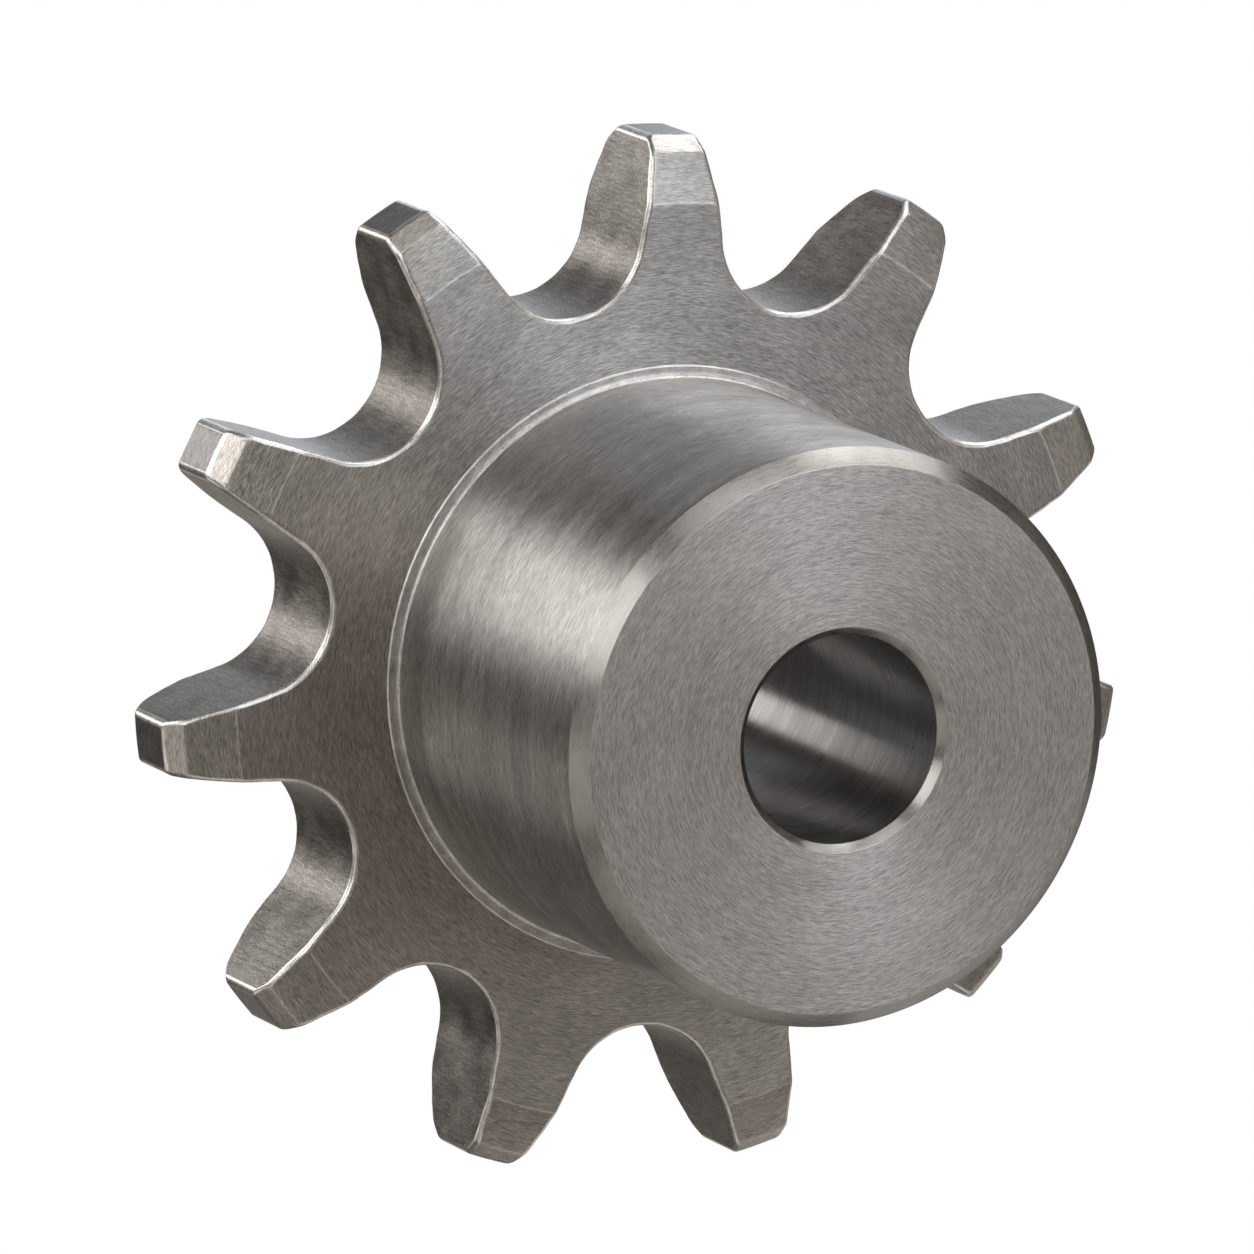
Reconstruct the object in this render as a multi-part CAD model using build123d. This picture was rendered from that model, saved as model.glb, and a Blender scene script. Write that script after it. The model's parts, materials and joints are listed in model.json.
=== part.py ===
"""Chain sprocket, simplex, eleven teeth, with a one-sided cylindrical hub and a plain bore.

One piece, turned and toothed from a single steel blank. Millimetres.
+Z runs along the bore towards the hub's end face. Z = 0 is the chain line, the mid-plane of
the toothed plate, and the origin lies on the bore's axis there. One tooth points along +Y.
"""
from build123d import *
import math
import os

# Chain and teeth
tooth_count = 11
chain_pitch = 15.875            # centre to centre of two rollers
roller_diameter = 10.16
seat_clearance = 0.05           # seat radius over roller radius
seat_half_angle = 65.9          # the seat arc runs this far each side of its lowest point, degrees
flank_radius = 80.0             # convex flank from the seat's end to the tip
tip_diameter = 66.0
tip_corner_radius = 0.5         # softened corner between flank and tip land

# Toothed plate
plate_thickness = 9.1
relief_width = 3.05             # turned side relief, along the radius, inside the bevel
relief_depth = 1.15             # how far the relief falls on each side
relief_turn_radius = 1.5        # soft turn from the flat side into the relief
bevel_width = 0.95              # steeper strip next to the tip land, along the radius
bevel_depth = 1.25
edge_break = 0.3                # deburred edge round each tooth gap

# Hub
hub_diameter = 36.0
overall_length = 35.0           # back face to the hub's end face
hub_chamfer = 1.0
foot_fillet = 0.5               # hollow where the hub meets the plate
foot_land_width = 0.25          # turned land outside the fillet
foot_land_height = 0.1

# Bore
bore_diameter = 13.0
bore_chamfer = 0.5

# Sizes worked out from those above
pitch_radius = chain_pitch / 2 / math.sin(math.pi / tooth_count)
seat_radius = roller_diameter / 2 + seat_clearance
half_plate = plate_thickness / 2
hub_face_z = overall_length - half_plate
tip_radius = tip_diameter / 2
hub_radius = hub_diameter / 2
bore_radius = bore_diameter / 2
bevel_radius = tip_radius - bevel_width
relief_start_radius = bevel_radius - relief_width


def blank():
    """The turned blank: half its section in the XZ plane, swept once round the bore's axis."""
    back = -half_plate
    land_z = half_plate + foot_land_height
    fillet_end_radius = hub_radius + foot_fillet
    land_radius = fillet_end_radius + foot_land_width
    middle = foot_fillet * (1 - math.sqrt(0.5))
    with BuildSketch(Plane.XZ) as section:
        with BuildLine():
            Polyline(
                (fillet_end_radius, land_z),
                (land_radius, land_z),
                (land_radius + foot_land_height, half_plate),
                (relief_start_radius, half_plate),
                (bevel_radius, half_plate - relief_depth),
                (tip_radius, half_plate - relief_depth - bevel_depth),
                (tip_radius, back + relief_depth + bevel_depth),
                (bevel_radius, back + relief_depth),
                (relief_start_radius, back),
                (bore_radius + bore_chamfer, back),
                (bore_radius, back + bore_chamfer),
                (bore_radius, hub_face_z - bore_chamfer),
                (bore_radius + bore_chamfer, hub_face_z),
                (hub_radius - hub_chamfer, hub_face_z),
                (hub_radius, hub_face_z - hub_chamfer),
                (hub_radius, land_z + foot_fillet),
            )
            ThreePointArc(
                (hub_radius, land_z + foot_fillet),
                (hub_radius + middle, land_z + middle),
                (fillet_end_radius, land_z),
            )
        make_face()
        # the turn may take up most of the relief's own slope, but no more
        slope = math.atan2(relief_depth, relief_width)
        slope_length = math.hypot(relief_depth, relief_width)
        widest_turn = 0.4 * slope_length / math.tan(slope / 2)
        turns = [corner for corner in section.vertices() if abs(corner.X - relief_start_radius) < 0.001]
        fillet(turns, min(relief_turn_radius, widest_turn))
    return revolve(section.sketch, Axis.Z)


def tooth_gap():
    """One gap between two teeth: a round roller seat, then a convex flank on each side.

    The seat's centre lies on the pitch circle. Each flank's centre lies on the line through
    the seat's centre and the seat's end, so that the two arcs are tangent there.
    """
    half = math.radians(seat_half_angle)
    reach = seat_radius + flank_radius
    flank_x = pitch_radius - reach * math.cos(half)
    flank_y = reach * math.sin(half)
    outside = tip_radius + 2 * bevel_width

    def seat_point(angle):
        return (pitch_radius - seat_radius * math.cos(angle), seat_radius * math.sin(angle))

    def flank_point(angle, side):
        return (flank_x + flank_radius * math.cos(angle),
                side * (flank_y - flank_radius * math.sin(angle)))

    # the flank ends where it crosses the circle just outside the tips
    centre_distance = math.hypot(flank_x, flank_y)
    cosine = outside ** 2 - centre_distance ** 2 - flank_radius ** 2
    cosine /= 2 * centre_distance * flank_radius
    end = math.acos(cosine) - math.atan2(flank_y, flank_x)
    with BuildSketch() as gap:
        with BuildLine():
            ThreePointArc(seat_point(-half), seat_point(0), seat_point(half))
            for side in (1, -1):
                ThreePointArc(flank_point(half, side), flank_point((half + end) / 2, side),
                              flank_point(end, side))
            Line(flank_point(end, 1), flank_point(end, -1))
        make_face()
    return extrude(gap.sketch, amount=plate_thickness, both=True)


def toothed():
    """The blank with its gaps cut, the tip corners rounded and the gap edges broken."""
    step = 360 / tooth_count
    gap = tooth_gap()
    gaps = [Rot(0, 0, 90 + step * (count + 0.5)) * gap for count in range(tooth_count)]
    body = blank() - gaps
    solid = body.solid() if hasattr(body, "solid") else body

    def radius(edge, share=0.5):
        place = edge.position_at(share)
        return math.hypot(place.X, place.Y)

    upright = solid.edges().filter_by(Axis.Z)
    corners = [edge for edge in upright if abs(radius(edge) - tip_radius) < 0.01]
    solid = fillet(corners, tip_corner_radius).solid()

    # every edge between a gap's walls and the plate's two sides
    outline = []
    for edge in solid.edges():
        low, high = edge.bounding_box().min.Z, edge.bounding_box().max.Z
        on_side = high < 0 or (low > 0 and high < half_plate + 0.001)
        turned = all(abs(radius(edge, share) - radius(edge)) < 0.001 for share in (0, 1))
        if on_side and radius(edge) > hub_radius + 2 and not turned:
            outline.append(edge)
    return solid, outline


sprocket, outline = toothed()
sprocket = chamfer(outline, edge_break).solid()
os.makedirs("parts", exist_ok=True)
export_step(sprocket, "parts/sprocket.step")
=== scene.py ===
"""A simplex roller-chain sprocket in bare machined steel, on a pale light table.

The file is laid out as an add-on and run as a script. One operator lays the finished steel
skin over the solid that the frame holds, and one sets the table, the lights and the camera.
"""
import json
import math

import bpy
import numpy as np
from bpy.props import FloatProperty, FloatVectorProperty, IntProperty, PointerProperty
from bpy.types import Operator, Panel, PropertyGroup
from mathutils import Matrix, Vector


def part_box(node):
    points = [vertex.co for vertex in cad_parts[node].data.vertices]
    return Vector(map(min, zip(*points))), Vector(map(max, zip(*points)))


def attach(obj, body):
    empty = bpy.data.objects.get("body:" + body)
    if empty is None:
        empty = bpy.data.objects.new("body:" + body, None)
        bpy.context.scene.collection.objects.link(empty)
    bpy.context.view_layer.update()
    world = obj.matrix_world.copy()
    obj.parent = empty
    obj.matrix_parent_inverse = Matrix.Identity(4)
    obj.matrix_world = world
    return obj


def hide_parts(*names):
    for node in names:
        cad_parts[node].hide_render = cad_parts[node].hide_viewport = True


bl_info = {
    "name": "Chain sprocket",
    "version": (1, 0, 0),
    "blender": (4, 5, 0),
    "location": "View3D > Sidebar > Sprocket",
    "description": "Builds the finish of a machined chain sprocket and its studio",
    "category": "Add Mesh",
}

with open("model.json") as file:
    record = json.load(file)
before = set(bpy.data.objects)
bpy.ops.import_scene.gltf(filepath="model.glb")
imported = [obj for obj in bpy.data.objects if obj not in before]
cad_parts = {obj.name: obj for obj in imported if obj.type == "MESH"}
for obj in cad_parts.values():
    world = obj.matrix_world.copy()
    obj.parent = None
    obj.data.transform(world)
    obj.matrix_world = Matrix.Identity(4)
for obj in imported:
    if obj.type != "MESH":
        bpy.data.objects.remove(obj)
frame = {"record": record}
MM = 0.001
NODE = "sprocket"
MOUNTS = {mount["name"]: mount for mount in frame["record"]["mounts"]}
SEATS = MOUNTS["chain_pitch_circle"]["dims"]
CAD_LOW, CAD_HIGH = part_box(NODE)


def length(name, description, default):
    """A length in metres for a property group."""
    return FloatProperty(name=name, description=description, default=default,
                         unit="LENGTH", subtype="DISTANCE", precision=5)


def angle(name, description, degrees):
    """An angle for a property group, given in degrees."""
    return FloatProperty(name=name, description=description, default=math.radians(degrees),
                         subtype="ANGLE", unit="ROTATION")


def colour(name, description, default):
    """A linear RGB colour for a property group."""
    return FloatVectorProperty(name=name, description=description, default=default,
                               subtype="COLOR", size=3, min=0.0, max=1.0)


# Settings

class SprocketTeeth(PropertyGroup):
    """The toothed plate."""
    count: IntProperty(name="Teeth", description="Number of teeth", default=SEATS["count"])
    pitch_radius: length("Pitch radius", "Circle through the roller centres", SEATS["pcd_mm"] / 2 * MM)
    tip_radius: length("Tip radius", "Circle over the tooth tips", CAD_HIGH.y)
    half_plate: length("Half plate", "Half the plate's thickness", -CAD_LOW.z)
    seat_radius: length("Seat radius", "Roller seat", 5.13 * MM)
    seat_half_angle: angle("Seat half angle", "Reach of the seat arc each side of its bottom", 65.9)
    flank_radius: length("Flank radius", "Convex flank between seat and tip", 80 * MM)
    corner_radius: length("Tip corner", "Rounding between flank and tip land", 0.5 * MM)
    relief_start: length("Relief start", "Circle where the side relief begins", 29.0 * MM)
    relief_depth: length("Relief depth", "Fall of the side relief", 1.15 * MM)
    bevel_width: length("Bevel width", "Steeper strip next to the tip land", 0.95 * MM)
    bevel_depth: length("Bevel depth", "Fall of that strip", 1.25 * MM)
    edge_break: length("Edge break", "Deburred edge round each gap", 0.3 * MM)
    edge_waver: length("Edge waver", "Unevenness of the deburred edge", 0.05 * MM)
    front_turn: length("Front turn", "Width of the turn into the relief, on the hub's side", 0.12 * MM)
    back_turn: length("Back turn", "The same on the far side, which is softer", 0.4 * MM)


class SprocketHub(PropertyGroup):
    """The hub and its bore."""
    radius: length("Hub radius", "Turned barrel", 18.0 * MM)
    face_z: length("Hub face", "Height of the end face", CAD_HIGH.z)
    chamfer: length("Hub chamfer", "Front edge", 1.0 * MM)
    foot_fillet: length("Foot fillet", "Hollow where the hub meets the plate", 0.5 * MM)
    land_width: length("Foot land", "Turned land outside the fillet", 0.25 * MM)
    land_height: length("Land height", "Step of that land", 0.1 * MM)
    bore_radius: length("Bore radius", "Pilot bore", MOUNTS["bore"]["dims"]["r_mm"] * MM)
    bore_chamfer: length("Bore chamfer", "Both ends", 0.5 * MM)
    soft_edge: length("Edge rounding", "Rounding left on turned corners", 0.08 * MM)


class SprocketFinish(PropertyGroup):
    """Colours and polish of the bare steel."""
    face: colour("Hub's end", "Turned end face", (0.79, 0.755, 0.72))
    plate: colour("Plate", "Turned sides of the toothed plate", (0.635, 0.615, 0.59))
    # painted shade: the plate's colour on the side that is painted darker
    plate_painted_shade: colour("Plate, dark side", "The same under its film", (0.56, 0.515, 0.465))
    barrel: colour("Barrel", "Hub's outside", (0.475, 0.46, 0.445))
    relief: colour("Relief", "Sloping strips at the teeth", (0.60, 0.57, 0.53))
    land: colour("Tip lands", "Outer ends of the teeth", (0.26, 0.252, 0.248))
    gap: colour("Gap walls", "Milled tooth gaps", (0.355, 0.332, 0.308))
    edge: colour("Broken edges", "Deburred edges", (0.88, 0.85, 0.82))
    foot: colour("Foot ring", "Ring at the hub's foot, and the edges of its end", (0.77, 0.745, 0.72))
    chamfer: colour("Chamfers", "Chamfers of hub and bore", (0.41, 0.40, 0.385))
    bore: colour("Bore", "Drilled wall", (0.36, 0.35, 0.34))


class SprocketStudio(PropertyGroup):
    """Table, lights and camera."""
    table_size: length("Table", "Edge of the square light table", 4.0)
    light_distance: length("Light distance", "Softboxes to the part", 0.8)
    bright_air: colour("Bright air", "Room where the flat faces mirror it", (0.20, 0.183, 0.166))
    dim_air: colour("Dim air", "Room on the far side and below", (0.08, 0.073, 0.066))
    camera_azimuth: angle("Azimuth", "Where the camera stands round the bore's axis", 157.48)
    camera_elevation: angle("Elevation", "Camera above the table's plane", 62.67)
    camera_roll: angle("Roll", "Turn about the line of sight", -112.94)
    camera_distance: length("Distance", "Camera to its target", 0.9881)
    camera_target: FloatVectorProperty(
        name="Target", description="Point in the middle of the picture", subtype="TRANSLATION",
        unit="LENGTH", precision=5, default=(-5.21 * MM, 3.47 * MM, 10.0 * MM))
    lens: FloatProperty(name="Lens", description="Focal length on a 36 mm sensor",
                        default=459.33, unit="CAMERA")


# Surfaces

# Zones of the skin, each with a finish of its own
FACE, PLATE, BARREL, GAP, EDGE, BORE, RELIEF, LAND, CHAMFER, FOOT = range(10)

# Circles that carry the plate's rows: first, last and number of rows
INNER_ROWS = (19.3 * MM, 22.3 * MM, 4)
TOOTH_ROWS = (22.8 * MM, 28.6 * MM, 7)
RELIEF_ROWS = (29.6 * MM, 31.6 * MM, 4)
NEAR_TURN = np.array([-0.3, -0.1, 0.0, 0.1, 0.3]) * MM      # rows about a turn in the side
LAST_ROW = 0.6 * MM             # the outermost circle lies this far inside the tips
SUPPORT_GAP = 0.03 * MM         # the sides' last row lies this far inside the deburred edge
STITCH_WIDTH = 0.25 * MM        # flat ring outside the hub's foot that the stitches start from
ROW_LENGTH = 4 * MM             # longest leg of the turned section
LEAN = 0.2                      # a leg that leans less than this is flat or upright

# Waves round the part that make the deburred edge uneven: number of waves and phase
EDGE_WAVES = ((61, 1.1), (137, 2.3), (233, 0.4))
# Rows across the deburred edge: share of the way from the side to the wall, and bulge
EDGE_ARC = ((0.0, 0.0), (0.15, 0.08), (0.5, 0.15), (0.85, 0.08), (1.0, 0.0))
# Rows down a gap's wall, as shares of its height
WALL_ROWS = (0.02, 0.15, 0.5, 0.85, 0.98)


def arc(centre, radius, start, stop, steps, endpoint=False):
    """Points and normals at even angles along an arc. The normal is the cosine and sine of the
    angle, and the point is the centre plus the normal times the radius."""
    angles = np.linspace(start, stop, steps, endpoint=endpoint)
    normals = np.stack([np.cos(angles), np.sin(angles)], 1)
    return centre + radius * normals, normals


def gap_outline(teeth, seat_steps=16, flank_steps=20, corner_steps=5, land_steps=4, land_share=0.6):
    """The plate's outline in plan, once round: points, outward normals, the share of the edge
    break at each point, and the zone of the wall from each point to the next.

    Half a gap runs from the seat's bottom to the tooth's middle: a seat arc of radius s about a
    point on the pitch circle, then a flank arc of radius f tangent to it, then a corner arc of
    radius c tangent inside both the flank and the tip circle, then the tip circle itself. The
    half is mirrored, and the whole gap is turned round the axis once for each tooth.
    """
    s, f, c = teeth.seat_radius, teeth.flank_radius, teeth.corner_radius
    p, tip = teeth.pitch_radius, teeth.tip_radius
    seat_end = teeth.seat_half_angle
    half_pitch = math.pi / teeth.count
    flank_centre = np.array([p - (s + f) * math.cos(seat_end), (s + f) * math.sin(seat_end)])
    # the corner's centre lies f - c from the flank's centre and tip - c from the axis
    d = float(np.hypot(*flank_centre))
    along = ((tip - c) ** 2 - (f - c) ** 2 + d * d) / (2 * d)
    across = math.sqrt((tip - c) ** 2 - along ** 2)
    unit = flank_centre / d
    corner_centre = along * unit + across * np.array([unit[1], -unit[0]])
    flank_way = corner_centre - flank_centre
    flank_end = math.atan2(flank_way[1], flank_way[0])
    corner_end = math.atan2(corner_centre[1], corner_centre[0])
    # the seat is hollow, so its normals point to its centre
    pieces = [
        arc(np.array([p, 0]), -s, 0, -seat_end, seat_steps),
        arc(flank_centre, f, -seat_end, flank_end, flank_steps),
        arc(corner_centre, c, flank_end, corner_end, corner_steps),
        arc(np.zeros(2), tip, corner_end, half_pitch, land_steps, endpoint=True),
    ]
    half_points = np.vstack([points for points, normals in pieces])
    half_normals = np.vstack([normals for points, normals in pieces])
    half_share = np.concatenate([np.ones(seat_steps + flank_steps),
                                 np.linspace(1.0, land_share, corner_steps),
                                 np.full(land_steps, land_share)])
    half_zone = np.repeat([GAP, EDGE, LAND], [seat_steps + flank_steps, corner_steps, land_steps - 1])
    share = np.tile(np.concatenate([half_share[:0:-1], half_share[:-1]]), teeth.count)
    zone = np.tile(np.concatenate([half_zone[::-1], half_zone]), teeth.count)
    turn = math.pi / 2 + 2 * half_pitch * (np.arange(teeth.count) + 0.5)
    cos, sin = np.cos(turn)[:, None], np.sin(turn)[:, None]

    def all_round(half):
        """The half mirrored into one gap, then turned to the place of each gap."""
        gap = np.vstack([half[:0:-1] * np.array([1, -1]), half[:-1]])
        x, y = gap[:, 0], gap[:, 1]
        return np.stack([x * cos - y * sin, x * sin + y * cos], 2).reshape(-1, 2)
    return all_round(half_points), all_round(half_normals), share, zone


def soft_ramp(x, width):
    """Zero below 0 and x above it, with the kink rounded over the given width."""
    return (x + np.sqrt(x * x + width * width)) / 2


def side_height(teeth, radius, turn_width):
    """Height of the plate's side over the mid-plane: flat, then the relief's cone, then the
    bevel's, whose own turn is the sharper one."""
    bevel_turn = 0.6 * turn_width
    bevel_start = teeth.tip_radius - teeth.bevel_width
    slope = teeth.relief_depth / (bevel_start - teeth.relief_start)
    steep = teeth.bevel_depth / teeth.bevel_width
    return (teeth.half_plate - slope * soft_ramp(radius - teeth.relief_start, turn_width)
            - (steep - slope) * soft_ramp(radius - bevel_start, bevel_turn))


def rounded(points, radii, steps=6):
    """A polyline with its corners replaced by arcs: each arc is tangent to both legs.

    The tangent points lie r / tan(turn / 2) from the corner, where turn is the angle between
    the legs, and the arc is sampled at equal angles.
    """
    out = [np.array(points[0])[None]]
    for i in range(1, len(points) - 1):
        p, a, b = np.array(points[i]), np.array(points[i - 1]), np.array(points[i + 1])
        u, v = (a - p) / np.hypot(*(a - p)), (b - p) / np.hypot(*(b - p))
        half = math.acos(float(np.clip(u @ v, -1, 1))) / 2
        r = radii[i]
        if r == 0:
            out.append(p[None])
            continue
        centre = p + (u + v) / np.hypot(*(u + v)) * (r / math.sin(half))
        start = p + u * (r / math.tan(half)) - centre
        stop = p + v * (r / math.tan(half)) - centre
        sweep = math.atan2(start[0] * stop[1] - start[1] * stop[0], start @ stop)
        t = np.linspace(0, sweep, steps)[:, None]
        out.append(centre + start * np.cos(t) + np.array([-start[1], start[0]]) * np.sin(t))
    out.append(np.array(points[-1])[None])
    return np.vstack(out)


class Skin:
    """Collects rings of vertices and strips of faces between them, then makes one mesh."""

    def __init__(self):
        self.points, self.faces, self.zones = [], [], []
        self.total = 0

    def ring(self, xyz):
        """Adds points (n, 3) and returns their indices."""
        index = np.arange(self.total, self.total + len(xyz))
        self.points.append(xyz)
        self.total += len(xyz)
        return index

    def strip(self, low, high, zone):
        """Faces between two rings of equal length, seen with the high ring above the low one and
        the columns running to the left. Where both rows meet in one vertex at an end, the face is
        a triangle, and where they meet at both ends there is none."""
        quads = np.stack([low, high, np.roll(high, -1), np.roll(low, -1)], 1)
        zone = np.broadcast_to(zone, len(quads))
        first, last = quads[:, 0] == quads[:, 1], quads[:, 2] == quads[:, 3]
        kinds = ((~first & ~last, [0, 1, 2, 3]), (first & ~last, [0, 2, 3]), (last & ~first, [0, 1, 2]))
        for kind, corners in kinds:
            self.add(quads[kind][:, corners], zone[kind])

    def stitch(self, coarse, fine, zone, flip):
        """Flat pentagons between a ring on every second column and one on every column."""
        every_second = np.arange(0, len(fine), 2)
        faces = np.stack([coarse, np.roll(coarse, -1), np.roll(fine, -2)[every_second],
                          fine[every_second + 1], fine[every_second]], 1)
        self.add(faces if flip else faces[:, ::-1], zone)

    def add(self, faces, zone):
        """Adds faces (n, corners) and their zones."""
        if len(faces):
            self.faces.append(faces)
            self.zones.append(np.broadcast_to(zone, len(faces)).astype(np.int32))

    def mesh(self, name):
        """One closed mesh: the blocks of faces are laid end to end and written as whole arrays."""
        data = bpy.data.meshes.new(name)
        corners = np.concatenate([block.ravel() for block in self.faces])
        sizes = np.concatenate([np.full(len(block), block.shape[1]) for block in self.faces])
        used, corners = np.unique(corners, return_inverse=True)
        points = np.vstack(self.points)[used]
        data.vertices.add(len(points))
        data.vertices.foreach_set("co", points.astype(np.float32).ravel())
        data.loops.add(len(corners))
        data.loops.foreach_set("vertex_index", corners.astype(np.int32).ravel())
        data.polygons.add(len(sizes))
        data.polygons.foreach_set("loop_start", (np.cumsum(sizes) - sizes).astype(np.int32))
        data.polygons.foreach_set("material_index", np.concatenate(self.zones))
        data.update(calc_edges=True)
        data.validate()
        data.shade_smooth()
        return data


def at_height(plan, height):
    """Points (n, 3) from places in plan and one height, or one for each."""
    return np.column_stack([plan, np.broadcast_to(height, len(plan))])


def radius_of(plan):
    """Distance of places in plan from the axis."""
    return np.hypot(plan[:, 0], plan[:, 1])


def plate_skin(skin, teeth):
    """The toothed plate's two sides, deburred edges and gap walls.

    In plan each column of vertices starts on a circle outside the hub's foot, runs out along a
    radius to the deburred edge of the plate's outline, crosses that edge along the outline's
    normal, goes down the gap's wall and comes back the same way underneath. Rows lie on circles,
    cut short where the outline is nearer. Returns the columns' directions and the innermost rows
    in front and behind.
    """
    outline, normal, share, wall_zone = gap_outline(teeth)
    columns = len(outline)
    turn = np.linspace(0, 2 * math.pi, columns, endpoint=False)
    wave = sum(np.sin(turn * count + phase) for count, phase in EDGE_WAVES) / len(EDGE_WAVES)
    inset = share * (teeth.edge_break + teeth.edge_waver * wave)
    support = outline - normal * (teeth.edge_break + teeth.edge_waver + SUPPORT_GAP)
    reach = radius_of(support)
    angle = np.unwrap(np.arctan2(support[:, 1], support[:, 0]))
    direction = np.stack([np.cos(angle), np.sin(angle)], 1)
    bevel_start = teeth.tip_radius - teeth.bevel_width
    circles = np.concatenate([
        np.linspace(*INNER_ROWS), np.linspace(*TOOTH_ROWS), teeth.relief_start + NEAR_TURN,
        np.linspace(*RELIEF_ROWS), bevel_start + NEAR_TURN, [teeth.tip_radius - LAST_ROW]])
    circles = circles[circles < reach.max()]
    steps = len(circles)
    # past the support curve a column's rows all share its last vertex
    last = np.searchsorted(circles, reach)
    row = np.minimum(np.arange(steps + 1)[:, None], last[None, :])

    def side(sign, soft):
        """Rows of one side, from the innermost circle out to the support curve, then the rows
        across the deburred edge, and the height of the wall's rim."""
        radii = [np.minimum(circle, reach) for circle in circles] + [reach]
        rings = []
        for radius in radii:
            height = sign * side_height(teeth, radius, soft)
            rings.append(skin.ring(at_height(direction * radius[:, None], height)))
        grid = np.array(rings)[row, np.arange(columns)[None, :]]
        edge = outline - normal * inset[:, None]
        top = side_height(teeth, radius_of(edge), soft)
        rim = side_height(teeth, radius_of(outline), soft) - inset
        across = []
        for part, bulge in EDGE_ARC:
            plan = outline - normal * (inset * (1 - part - bulge))[:, None]
            height = sign * (top + (rim - top) * part + bulge * inset)
            across.append(skin.ring(at_height(plan, height)))
        return grid, across, rim

    front, front_edge, front_rim = side(1, teeth.front_turn)
    back, back_edge, back_rim = side(-1, teeth.back_turn)
    for j in range(steps):
        middle = circles[j] if j == steps - 1 else (circles[j] + circles[j + 1]) / 2
        zone = PLATE if middle < teeth.relief_start else RELIEF
        skin.strip(front[j], front[j + 1], zone)
        skin.strip(back[j + 1], back[j], zone)
    rim_zone = np.where(reach < teeth.relief_start, PLATE, RELIEF)
    skin.strip(front[-1], front_edge[0], rim_zone)
    skin.strip(back_edge[0], back[-1], rim_zone)
    for j in range(len(EDGE_ARC) - 1):
        skin.strip(front_edge[j], front_edge[j + 1], EDGE)
        skin.strip(back_edge[j + 1], back_edge[j], EDGE)
    walls = [front_edge[-1]]
    for down in WALL_ROWS:
        walls.append(skin.ring(at_height(outline, front_rim * (1 - down) - back_rim * down)))
    walls.append(back_edge[-1])
    for upper, lower in zip(walls, walls[1:]):
        skin.strip(upper, lower, wall_zone)
    return direction, front[0], back[0]


def turned_section(teeth, hub):
    """Half the section of what is turned round the axis: points of radius and height, from the
    plate's front over the hub and down the bore to the back face, and the zone of each leg.

    Corners are rounded, and a long leg gets points at even distances, so that the shading stays
    even.
    """
    r, bore, front = hub.radius, hub.bore_radius, teeth.half_plate
    chamfer, soft, top = hub.bore_chamfer, hub.soft_edge, hub.face_z
    land_z = front + hub.land_height
    foot = r + hub.foot_fillet
    land = foot + hub.land_width
    corners = [
        (land + STITCH_WIDTH, front, 0), (land + hub.land_height, front, 0.03 * MM),
        (land, land_z, 0.04 * MM), (r, land_z, hub.foot_fillet), (r, top - hub.chamfer, soft),
        (r - hub.chamfer, top, soft), (bore + chamfer, top, soft), (bore, top - chamfer, soft),
        (bore, -front + chamfer, soft), (bore + chamfer, -front, soft), (land + STITCH_WIDTH, -front, 0)]
    shape = rounded([corner[:2] for corner in corners], [corner[2] for corner in corners])
    section = [shape[0]]
    for p, q in zip(shape[:-1], shape[1:]):
        pieces = 1 + int(np.hypot(*(q - p)) / ROW_LENGTH)
        section += [p + (q - p) * k / pieces for k in range(1, pieces + 1)]
    section = np.array(section)
    radius, height = ((section[1:] + section[:-1]) / 2).T
    run, rise = np.abs(np.diff(section, axis=0)).T
    flat, upright = rise < LEAN * run, run < LEAN * rise
    outer = radius > (r + bore) / 2
    # the fillet's upper part looks like the barrel, and the rest of the foot is a ring of its
    # own, with the same finish as the rounded edges of the hub's end
    fillet_top = (radius > r) & (radius < r + 0.3 * hub.foot_fillet) & (height > land_z)
    zones = np.full(len(radius), CHAMFER)
    zones[(radius > r) & (height > 0)] = FOOT
    zones[top - height < 0.75 * soft] = FOOT
    zones[flat & (radius < r)] = FACE
    zones[flat & ((radius > land) | (height < 0))] = PLATE
    zones[(upright & outer) | fillet_top] = BARREL
    zones[upright & ~outer] = BORE
    return section, zones


def steel_skin(teeth, hub):
    """The whole surface of the sprocket: the toothed plate, then the turned section swept round
    the axis on every second column, stitched to the plate in front and behind."""
    skin = Skin()
    direction, front, back = plate_skin(skin, teeth)
    section, zones = turned_section(teeth, hub)
    spokes = direction[::2]
    rings = [skin.ring(at_height(spokes * radius, height)) for radius, height in section]
    for outer, inner, zone in zip(rings, rings[1:], zones):
        skin.strip(inner, outer, zone)
    skin.stitch(rings[0], front, PLATE, False)
    skin.stitch(rings[-1], back, PLATE, True)
    return skin


# Finishes

NOISE_LOW, NOISE_HIGH = 0.3, 0.7    # most of a noise's values lie between these
BUMP_DEPTH = 0.02 * MM


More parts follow.
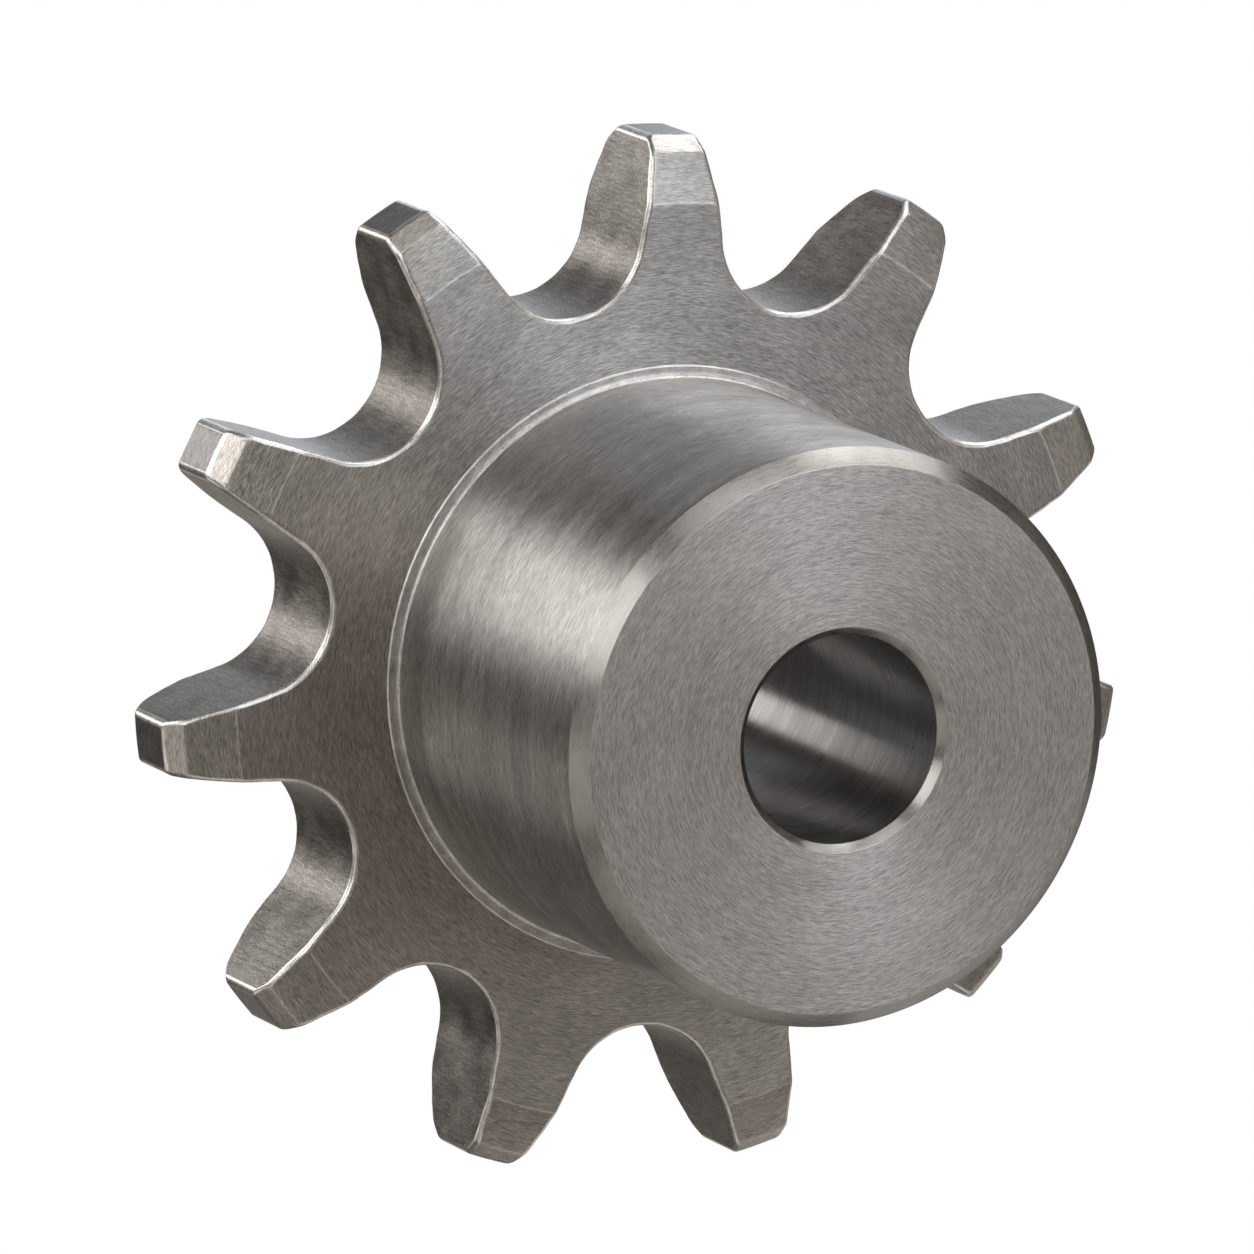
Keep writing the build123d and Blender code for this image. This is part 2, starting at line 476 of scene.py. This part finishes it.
class Nodes:
    """A short hand for building a node tree. Each method adds a node and returns its output."""

    def __init__(self, tree):
        self.tree = tree
        tree.nodes.clear()

    def make(self, kind, **values):
        """A node of the given kind, itself and not its output."""
        node = self.tree.nodes.new(kind)
        for key, value in values.items():
            setattr(node, key, value)
        return node

    def put(self, node, socket, value):
        """Links an output to a socket, or sets the socket's own value."""
        if isinstance(value, bpy.types.NodeSocket):
            self.tree.links.new(value, node.inputs[socket])
        else:
            node.inputs[socket].default_value = tuple(value) if hasattr(value, "__len__") else value

    def math(self, operation, *values):
        """A sum, product or other operation on numbers."""
        node = self.make("ShaderNodeMath", operation=operation)
        for i, value in enumerate(values):
            self.put(node, i, value)
        return node.outputs[0]

    def scaled(self, vector, factor):
        """A vector times a factor."""
        node = self.make("ShaderNodeVectorMath", operation="SCALE")
        self.put(node, 0, vector)
        self.put(node, "Scale", factor)
        return node.outputs[0]

    def dot(self, vector, other):
        """The dot product of two vectors."""
        node = self.make("ShaderNodeVectorMath", operation="DOT_PRODUCT")
        self.put(node, 0, vector)
        self.put(node, 1, other)
        return node.outputs["Value"]

    def combine(self, x, y, z):
        """A vector from three numbers."""
        node = self.make("ShaderNodeCombineXYZ")
        for i, value in enumerate((x, y, z)):
            self.put(node, i, value)
        return node.outputs[0]

    def noise(self, vector, detail=2.0, rough=0.5, w=None):
        """Noise over three axes, or over four where w is given."""
        node = self.make("ShaderNodeTexNoise", noise_dimensions="3D" if w is None else "4D")
        self.put(node, "Vector", vector)
        if w is not None:
            self.put(node, "W", w)
        for key, value in (("Scale", 1.0), ("Detail", detail), ("Roughness", rough)):
            self.put(node, key, value)
        return node.outputs["Fac"]

    def span(self, value, low, high, to_low, to_high, kind="LINEAR"):
        """The value moved from one range to another, and held at its ends."""
        node = self.make("ShaderNodeMapRange", interpolation_type=kind)
        for i, item in enumerate((value, low, high, to_low, to_high)):
            self.put(node, i, item)
        return node.outputs[0]

    def mix(self, share, a, b):
        """Colour a where the share is 0 and colour b where it is 1."""
        node = self.make("ShaderNodeMix", data_type="RGBA")
        self.put(node, "Factor", share)
        self.put(node, "A", a)
        self.put(node, "B", b)
        return node.outputs["Result"]

    def by_ray(self, camera, other):
        """One shader for what the camera sees directly and another for all other light."""
        node = self.make("ShaderNodeMixShader")
        self.put(node, 0, self.make("ShaderNodeLightPath").outputs["Is Camera Ray"])
        self.put(node, 1, other)
        self.put(node, 2, camera)
        return node.outputs[0]


class Steel(Nodes):
    """A bare steel finish: marks in the metal give its tone, polish and relief."""

    def __init__(self, name):
        self.material = bpy.data.materials.new(name)
        self.material.use_nodes = True
        super().__init__(self.material.node_tree)
        self.position = self.make("ShaderNodeTexCoord").outputs["Object"]
        split = self.make("ShaderNodeSeparateXYZ")
        self.put(split, 0, self.position)
        self.x, self.y, self.z = split.outputs
        self.radius = self.math("SQRT", self.math("ADD", self.math("MULTIPLY", self.x, self.x),
                                                  self.math("MULTIPLY", self.y, self.y)))

    def spots(self, size, detail=2.0, rough=0.5):
        """Even noise with spots of the given size."""
        return self.noise(self.scaled(self.position, 1 / size), detail, rough)

    def rings(self, width, streak, waver=0.0, detail=2.0):
        """Lathe marks. The place divided by the streak's length is three axes of the noise, and
        radius less most of the height over the mid-plane, divided by the line's width, is the
        fourth, so that the noise is short across the rings and long round them."""
        height_share, waver_size, rough = 0.7, 1.6 * MM, 0.6
        height = self.math("ABSOLUTE", self.z)
        across = self.math("SUBTRACT", self.radius, self.math("MULTIPLY", height, height_share))
        if waver:
            wander = self.math("MULTIPLY", self.spots(waver_size, 1.0), waver)
            across = self.math("ADD", across, wander)
        place = self.scaled(self.position, 1 / streak)
        return self.noise(place, detail, rough, self.math("DIVIDE", across, width))

    def painted_highlight_at(self, radius, core=0.04 * MM, fade=0.11 * MM, highlight_gain=1.6):
        """A factor that brightens a thin line on the circle of the given radius: a painted highlight."""
        off = self.math("ABSOLUTE", self.math("SUBTRACT", self.radius, radius))
        return self.span(off, core, fade, highlight_gain, 1.0)

    def swing(self, value, amount):
        """Turns noise into a factor about 1."""
        return self.span(value, NOISE_LOW, NOISE_HIGH, 1 - amount, 1 + amount)

    def finish(self, tint, tones, roughness, polish, height, strength, anisotropy=0.0):
        """Joins the marks to the shader: the tones multiply the tint, polish moves the roughness
        a little and height gives the bumps. Marks that run round the axis spread a highlight
        across themselves: the tangent runs round the axis and the anisotropy is turned by a
        quarter."""
        play = 0.05
        tone = tones[0]
        for other in tones[1:]:
            tone = self.math("MULTIPLY", tone, other)
        bumps = self.make("ShaderNodeBump")
        self.put(bumps, "Strength", strength)
        self.put(bumps, "Distance", BUMP_DEPTH)
        self.put(bumps, "Height", height)
        shader = self.make("ShaderNodeBsdfPrincipled")
        self.put(shader, "Base Color", self.scaled(tint, tone))
        self.put(shader, "Metallic", 1.0)
        self.put(shader, "Roughness",
                 self.span(polish, NOISE_LOW, NOISE_HIGH, roughness - play, roughness + play))
        self.put(shader, "Normal", bumps.outputs[0])
        if anisotropy:
            self.put(shader, "Anisotropic", anisotropy)
            self.put(shader, "Anisotropic Rotation", 0.25)
            self.put(shader, "Tangent", self.combine(self.math("MULTIPLY", self.y, -1.0), self.x, 0.0))
        output = self.make("ShaderNodeOutputMaterial")
        self.put(output, "Surface", shader.outputs[0])
        return self.material


def turned_face(tint):
    """The hub's end: fine, slightly wavy lathe lines."""
    s = Steel("turned_face")
    fine = s.rings(width=0.05 * MM, streak=0.55 * MM, waver=0.1 * MM)
    broad = s.rings(width=0.9 * MM, streak=9 * MM)
    tones = [s.swing(fine, 0.42), s.swing(broad, 0.06), s.swing(s.spots(6 * MM), 0.05)]
    return s.finish(tint, tones, 0.40, polish=fine, height=fine, strength=0.6, anisotropy=0.7)


def plate_side(tint, shade, relief_start):
    """The plate's two sides: fine marks, a thin painted highlight where the side relief begins, and
    painted shade that darkens the metal towards one side."""
    s = Steel("plate_side")
    fine = s.rings(width=0.05 * MM, streak=0.55 * MM, waver=0.1 * MM)
    broad = s.rings(width=0.9 * MM, streak=9 * MM)
    # painted highlight: a thin bright line where the side relief begins
    line = s.painted_highlight_at(relief_start)
    # painted shade: along this direction the plate's colour goes from the shade colour to the lit tint,
    # darker towards one side
    lit_side, shade_end, lit_start = (0.45, 0.89, 0.0), -12 * MM, 13 * MM
    painted_shade = s.span(s.dot(s.position, lit_side), shade_end, lit_start, 0.0, 1.0, "SMOOTHSTEP")
    tones = [s.swing(fine, 0.5), s.swing(broad, 0.07), s.swing(s.spots(5 * MM), 0.09), line]
    metal = s.mix(painted_shade, (*shade, 1), (*tint, 1))
    return s.finish(metal, tones, 0.40, polish=fine, height=fine, strength=0.8, anisotropy=0.65)


def turned_barrel(tint):
    """The hub's outside, smoother than the faces."""
    s = Steel("turned_barrel")
    fine = s.rings(width=0.05 * MM, streak=0.7 * MM, waver=0.12 * MM)
    broad = s.rings(width=0.8 * MM, streak=14 * MM)
    tones = [s.swing(fine, 0.4), s.swing(broad, 0.1), s.swing(s.spots(5 * MM), 0.06)]
    return s.finish(tint, tones, 0.42, polish=broad, height=fine, strength=0.35, anisotropy=0.9)


def drilled_bore(tint):
    """The bore's wall, with reamer marks round it."""
    s = Steel("drilled_bore")
    fine = s.rings(width=0.16 * MM, streak=2.5 * MM, waver=0.1 * MM)
    broad = s.rings(width=0.7 * MM, streak=8 * MM)
    tones = [s.swing(fine, 0.2), s.swing(broad, 0.12)]
    return s.finish(tint, tones, 0.30, polish=broad, height=fine, strength=0.5, anisotropy=0.75)


def relieved_side(name, tint, relief_start, bevel_start):
    """The sloping strips at the teeth and the tips' lands: coarser marks from the form tool, a thin
    painted highlight where the relief begins, and a painted highlight that makes the bevel a little
    brighter than the relief."""
    s = Steel(name)
    coarse = s.rings(width=0.075 * MM, streak=0.5 * MM, waver=0.12 * MM, detail=3.0)
    blur = 0.05 * MM
    highlight_gain = 1.2
    # painted highlight: the bevel's colour is raised above the relief's
    bevel = s.span(s.radius, bevel_start - blur, bevel_start + blur, 1.0, highlight_gain)
    # painted highlight: a thin bright line where the relief begins
    tones = [s.swing(coarse, 0.5), s.swing(s.spots(3 * MM), 0.1), s.painted_highlight_at(relief_start), bevel]
    return s.finish(tint, tones, 0.38, polish=coarse, height=coarse, strength=1.2, anisotropy=0.3)


def milled_gap(tint):
    """The walls of the tooth gaps: mottled, with faint marks along the bore's direction."""
    s = Steel("milled_gap")
    grain = s.spots(0.14 * MM, 3.0, 0.65)
    width, run = 0.2 * MM, 1.4 * MM
    stretch = s.combine(s.math("DIVIDE", s.x, width), s.math("DIVIDE", s.y, width),
                        s.math("DIVIDE", s.z, run))
    marks = s.noise(stretch, 2.0)
    stain = s.spots(1.8 * MM, 3.0)
    tones = [s.swing(grain, 0.42), s.swing(marks, 0.2), s.swing(stain, 0.2)]
    height = s.math("ADD", grain, s.math("MULTIPLY", marks, 0.5))
    return s.finish(tint, tones, 0.43, polish=stain, height=height, strength=0.9)


def turned_chamfer(tint):
    """The chamfers at the ends of the hub and the bore."""
    s = Steel("turned_chamfer")
    fine = s.rings(width=0.08 * MM, streak=0.9 * MM, waver=0.15 * MM)
    tones = [s.swing(fine, 0.2), s.swing(s.spots(1.5 * MM), 0.08)]
    return s.finish(tint, tones, 0.30, polish=fine, height=fine, strength=0.4, anisotropy=0.3)


def broken_edge(name, tint, roughness):
    """Deburred edges: rounded and brighter, with small pits and uneven patches."""
    s = Steel(name)
    fine = s.rings(width=0.08 * MM, streak=0.6 * MM, waver=0.15 * MM)
    pit_start, pit_full, pit_tone = 0.62, 0.72, 0.5
    pits = s.span(s.spots(0.16 * MM, 2.0), pit_start, pit_full, 1.0, pit_tone)
    patches = s.swing(s.spots(1.2 * MM, 2.0), 0.16)
    return s.finish(tint, [s.swing(fine, 0.2), pits, patches], roughness, polish=fine, height=fine,
                    strength=0.6)


class SPROCKET_OT_body(Operator):
    """Lay the finished steel surface over the solid sprocket"""
    bl_idname = "sprocket.body"
    bl_label = "Steel body"

    def execute(self, context):
        scene = context.scene
        teeth, hub, finish = scene.sprocket_teeth, scene.sprocket_hub, scene.sprocket_finish
        data = steel_skin(teeth, hub).mesh("sprocket_body")
        bevel_start = teeth.tip_radius - teeth.bevel_width
        finishes = {
            FACE: turned_face(finish.face),
            PLATE: plate_side(finish.plate, finish.plate_painted_shade, teeth.relief_start),
            BARREL: turned_barrel(finish.barrel),
            GAP: milled_gap(finish.gap),
            EDGE: broken_edge("broken_edge", finish.edge, roughness=0.34),
            FOOT: broken_edge("foot_ring", finish.foot, roughness=0.40),
            CHAMFER: turned_chamfer(finish.chamfer),
            BORE: drilled_bore(finish.bore),
            RELIEF: relieved_side("relieved_side", finish.relief, teeth.relief_start, bevel_start),
            LAND: relieved_side("tip_land", finish.land, teeth.relief_start, bevel_start),
        }
        for zone in sorted(finishes):
            data.materials.append(finishes[zone])
        body = bpy.data.objects.new("sprocket_body", data)
        scene.collection.objects.link(body)
        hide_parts(NODE)
        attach(body, "root")
        return {"FINISHED"}


# Studio

def toward(azimuth, elevation):
    """The unit vector at an azimuth round the bore's axis and an elevation over the table."""
    level = math.cos(elevation)
    return Vector((math.cos(azimuth) * level, math.sin(azimuth) * level, math.sin(elevation)))


WARM, PLAIN, COOL = (1.0, 0.95, 0.88), (1.0, 0.985, 0.96), (0.84, 0.91, 1.0)

# Name, azimuth and elevation in degrees, width and height in metres, brightness, tint
SOFTBOXES = (
    ("left_main", 151, -18, 0.33, 0.35, 12.0, PLAIN),
    ("left_streak", 138, -10, 0.08, 0.35, 9.0, PLAIN),
    ("left_soft", 151, 28, 0.45, 0.30, 8.0, PLAIN),
    ("left_low", 164, -34, 0.30, 0.35, 3.8, PLAIN),
    ("low_streak", 155, -57, 0.22, 0.44, 6.4, PLAIN),
    ("low_top", 88, -54, 0.40, 0.40, 1.0, COOL),
    ("top_main", 60, 3, 0.50, 0.30, 7.4, PLAIN),
    ("top_spot", 71, 10, 0.20, 0.22, 4.5, PLAIN),
    ("top_low", 62, -20, 0.50, 0.30, 4.9, COOL),
    ("top", 98, 27, 0.48, 0.30, 4.3, PLAIN),
    ("high_side", 68, 50, 0.45, 0.40, 5.2, COOL),
    ("high_back", 20, 62, 0.50, 0.50, 1.3, COOL),
    ("back", 10, 10, 0.50, 0.40, 0.8, WARM),
    ("low_back", 25, -57, 0.40, 0.45, 3.8, COOL),
    ("bottom", 206, -20, 0.30, 0.35, 3.0, WARM),
    ("bottom_soft", 200, 25, 0.40, 0.30, 2.3, WARM),
    ("right_soft", 246, 22, 0.60, 0.25, 1.9, WARM),
    ("right_low", 290, 6, 0.80, 0.30, 1.6, WARM),
    ("low_far", 312, -58, 0.50, 0.45, 1.8, WARM),
    ("far_low", 322, -16, 0.60, 0.30, 1.6, PLAIN),
)


def softbox(studio, name, azimuth, elevation, width, height, brightness, tint):
    """A rectangular light in the given direction, in degrees, aimed at the part. Its width runs
    round the axis. Its power is its brightness times its area, so that a larger box looks as
    bright in the metal as a small one."""
    light = bpy.data.lights.new(name, "AREA")
    light.shape = "RECTANGLE"
    light.size, light.size_y = width, height
    light.energy = brightness * width * height
    light.color = tint
    way = toward(math.radians(azimuth), math.radians(elevation))
    lamp = bpy.data.objects.new(name, light)
    lamp.location = Vector(studio.camera_target) + way * studio.light_distance
    lamp.rotation_euler = way.to_track_quat("Z", "Y").to_euler()
    lamp.visible_camera = False
    bpy.context.scene.collection.objects.link(lamp)


def pale_table(studio):
    """A pale sheet under the part, lit from below: a camera sees it plain and white, and the
    studio's light passes up through it."""
    half = studio.table_size / 2
    z = CAD_LOW.z
    data = bpy.data.meshes.new("table")
    corners = [(-half, -half, z), (half, -half, z), (half, half, z), (-half, half, z)]
    data.from_pydata(corners, [], [(0, 1, 2, 3)])
    table = bpy.data.objects.new("table", data)
    bpy.context.scene.collection.objects.link(table)
    material = bpy.data.materials.new("pale_sheet")
    material.use_nodes = True
    n = Nodes(material.node_tree)
    clear = n.make("ShaderNodeBsdfTransparent")
    output = n.make("ShaderNodeOutputMaterial")
    n.put(output, "Surface", n.by_ray(n.make("ShaderNodeEmission").outputs[0], clear.outputs[0]))
    data.materials.append(material)


def studio_air(studio):
    """The room's own soft light. It is brightest where the flat faces mirror it to the camera,
    and falls off to the far side and below the table."""
    scene = bpy.context.scene
    world = bpy.data.worlds.new("studio")
    scene.world = world
    world.use_nodes = True
    n = Nodes(world.node_tree)
    way = n.make("ShaderNodeTexCoord").outputs["Generated"]
    mirrored = toward(studio.camera_azimuth + math.pi, studio.camera_elevation)
    darkest, fall = -0.3, 2.0       # cosine where the air is darkest, and how fast it gets there
    share = n.span(n.dot(way, tuple(mirrored)), darkest, 1.0, 0.0, 1.0)
    room = n.mix(n.math("POWER", share, fall), (*studio.dim_air, 1), (*studio.bright_air, 1))
    light = n.make("ShaderNodeBackground")
    n.put(light, "Color", room)
    plain = n.make("ShaderNodeBackground")
    n.put(plain, "Color", (1, 1, 1, 1))
    output = n.make("ShaderNodeOutputWorld")
    n.put(output, "Surface", n.by_ray(plain.outputs[0], light.outputs[0]))


def camera_axes(studio):
    """The camera's right, up and back vectors, from its azimuth, elevation and roll."""
    back = toward(studio.camera_azimuth, studio.camera_elevation)
    level = Vector((0, 0, 1)).cross(back).normalized()
    up = back.cross(level) * math.cos(studio.camera_roll) + level * math.sin(studio.camera_roll)
    return up.cross(back), up, back


class SPROCKET_OT_studio(Operator):
    """Set the table, the lights and the camera"""
    bl_idname = "sprocket.studio"
    bl_label = "Studio"

    def execute(self, context):
        scene = context.scene
        studio = scene.sprocket_studio
        scene.view_settings.view_transform = "Standard"
        pale_table(studio)
        studio_air(studio)
        for box in SOFTBOXES:
            softbox(studio, *box)
        lens = bpy.data.cameras.new("camera")
        lens.sensor_width = 36.0
        lens.lens = studio.lens
        lens.clip_start, lens.clip_end = 0.01, 20.0
        camera = bpy.data.objects.new("camera", lens)
        right, up, back = camera_axes(studio)
        place = Vector(studio.camera_target) + back * studio.camera_distance
        turned = Matrix((right, up, back)).transposed().to_4x4()
        camera.matrix_world = Matrix.Translation(place) @ turned
        scene.collection.objects.link(camera)
        scene.camera = camera
        return {"FINISHED"}


class SPROCKET_PT_panel(Panel):
    """Sizes, finish and studio of the sprocket"""
    bl_label = "Chain sprocket"
    bl_idname = "SPROCKET_PT_panel"
    bl_space_type = "VIEW_3D"
    bl_region_type = "UI"
    bl_category = "Sprocket"

    def draw(self, context):
        for group in GROUPS:
            settings = getattr(context.scene, group)
            box = self.layout.box()
            for name in settings.__annotations__:
                box.prop(settings, name)
        self.layout.operator(SPROCKET_OT_body.bl_idname)
        self.layout.operator(SPROCKET_OT_studio.bl_idname)


GROUPS = {"sprocket_teeth": SprocketTeeth, "sprocket_hub": SprocketHub,
          "sprocket_finish": SprocketFinish, "sprocket_studio": SprocketStudio}
OTHERS = (SPROCKET_OT_body, SPROCKET_OT_studio, SPROCKET_PT_panel)


def register():
    for name, group in GROUPS.items():
        bpy.utils.register_class(group)
        setattr(bpy.types.Scene, name, PointerProperty(type=group))
    for item in OTHERS:
        bpy.utils.register_class(item)


def unregister():
    for item in reversed(OTHERS):
        bpy.utils.unregister_class(item)
    for name, group in reversed(GROUPS.items()):
        delattr(bpy.types.Scene, name)
        bpy.utils.unregister_class(group)


def main():
    register()
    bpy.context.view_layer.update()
    bpy.ops.sprocket.body()
    bpy.ops.sprocket.studio()


if __name__ == "__main__":
    main()
